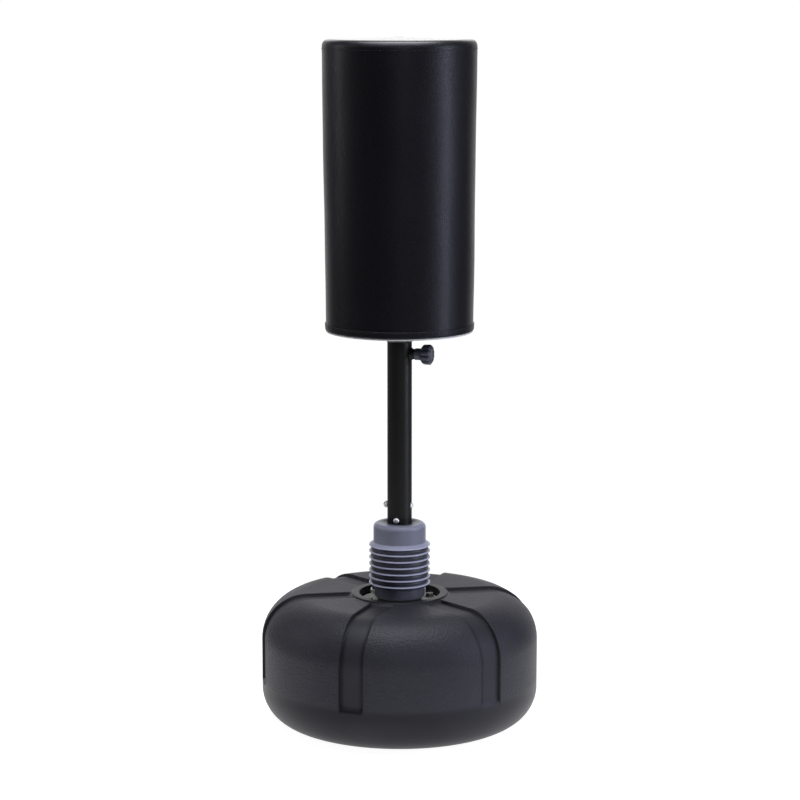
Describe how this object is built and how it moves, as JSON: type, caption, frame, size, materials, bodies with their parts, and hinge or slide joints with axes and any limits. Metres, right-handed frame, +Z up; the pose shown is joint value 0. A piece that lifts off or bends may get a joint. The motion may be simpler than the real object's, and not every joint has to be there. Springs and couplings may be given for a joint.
{
  "type": "free-standing punching bag",
  "caption": "Round fillable base with radial channels, sprung neck under a ribbed boot, round mast with a clamp knob, and a tall padded cylindrical bag.",
  "frame": {"origin": "on the floor, at the centre of the tank's underside, on the mast's centre line", "axes": "+Z up along the mast, +X along the clamp knob's axis outwards, -Y the mast's front with the front cross bolt's head"},
  "size_m": [0.474, 0.474, 1.1701],
  "materials": {
    "tank_plastic": "matte",
    "insert_brass": "satin",
    "plate_paint": "satin",
    "zinc": "satin",
    "socket_paint": "satin",
    "seal_rubber": "matte",
    "cap_plastic": "satin",
    "spring_steel": "satin",
    "boot_rubber": "satin",
    "mast_paint": "gloss",
    "bush_plastic": "satin",
    "knob_plastic": "satin",
    "nylon": "satin",
    "board": "matte",
    "core_card": "matte",
    "foam": "matte",
    "cover_leather": "satin",
    "hem_leather": "satin"
  },
  "bodies": {
    "base": {"base_tank": "tank_plastic", "plate_inserts": "insert_brass", "base_plate": "plate_paint", "plate_washers": "zinc", "plate_bolts": "zinc", "spring_socket": "socket_paint", "boot_bolt": "zinc", "boot_nut": "zinc"},
    "cap_seal": {"cap_seal": "seal_rubber"},
    "filler_cap": {"filler_cap": "cap_plastic"},
    "spring_neck": {"coil_spring": "spring_steel", "spring_boot": "boot_rubber"},
    "mast": {"spring_plug": "socket_paint", "mast_tube": "mast_paint", "cross_bolts": "zinc", "cross_nuts": "zinc", "mast_bush": "bush_plastic", "weld_nut": "mast_paint"},
    "clamp_stud": {"clamp_stud": "zinc"},
    "clamp_knob": {"clamp_knob": "knob_plastic"},
    "guide_bush": {"guide_bush": "nylon"},
    "bag": {"post_clip": "zinc", "foot_plug": "cap_plastic", "sliding_post": "mast_paint", "post_cap": "cap_plastic", "support_plate": "socket_paint", "support_screws": "zinc", "bottom_board": "board", "core_tube": "core_card", "foam_core": "foam", "top_board": "board", "top_pad": "foam", "cover_side": "cover_leather", "cover_top": "cover_leather", "cover_bottom": "cover_leather", "hem_band": "hem_leather", "seam_strip": "hem_leather"}
  },
  "joints": [
    {"name": "cap_lift", "type": "slide", "parent": "base", "child": "cap_seal", "axis": [0, 0, 1], "range_m": [0, 0.012]},
    {"name": "cap_turn", "type": "hinge", "parent": "cap_seal", "child": "filler_cap", "pos_m": [-0.05265, 0.1056, 0.23], "axis": [0, 0, 1], "range_deg": [0, 1081]},
    {"name": "tilt_fore_aft", "type": "hinge", "parent": "base", "child": "spring_neck", "pos_m": [0, 0, 0.2775], "axis": [1, 0, 0], "range_deg": [-20, 20], "stiffness_Nm_per_rad": 420, "deforming": ["coil_spring", "spring_boot"]},
    {"name": "tilt_sideways", "type": "hinge", "parent": "spring_neck", "child": "mast", "pos_m": [0, 0, 0.2775], "axis": [0, 1, 0], "range_deg": [-20, 20], "stiffness_Nm_per_rad": 420, "deforming": ["coil_spring", "spring_boot"]},
    {"name": "clamp_travel", "type": "slide", "parent": "mast", "child": "clamp_stud", "axis": [1, 0, 0], "range_m": [0, 0.0045]},
    {"name": "clamp_turn", "type": "hinge", "parent": "clamp_stud", "child": "clamp_knob", "pos_m": [0.045, 0, 0.6386], "axis": [1, 0, 0], "range_deg": [0, 1081]},
    {"name": "height_slide", "type": "slide", "parent": "mast", "child": "guide_bush", "axis": [0, 0, 1], "range_m": [0, 0.19]},
    {"name": "bag_turn", "type": "hinge", "parent": "guide_bush", "child": "bag", "pos_m": [0, 0, 0.42], "axis": [0, 0, 1], "continuous": true}
  ],
  "couplings": [
    {"joint": "cap_turn", "follows": "cap_lift", "rad_per_m": 1570.8},
    {"joint": "clamp_turn", "follows": "clamp_travel", "rad_per_m": 4188.8}
  ]
}
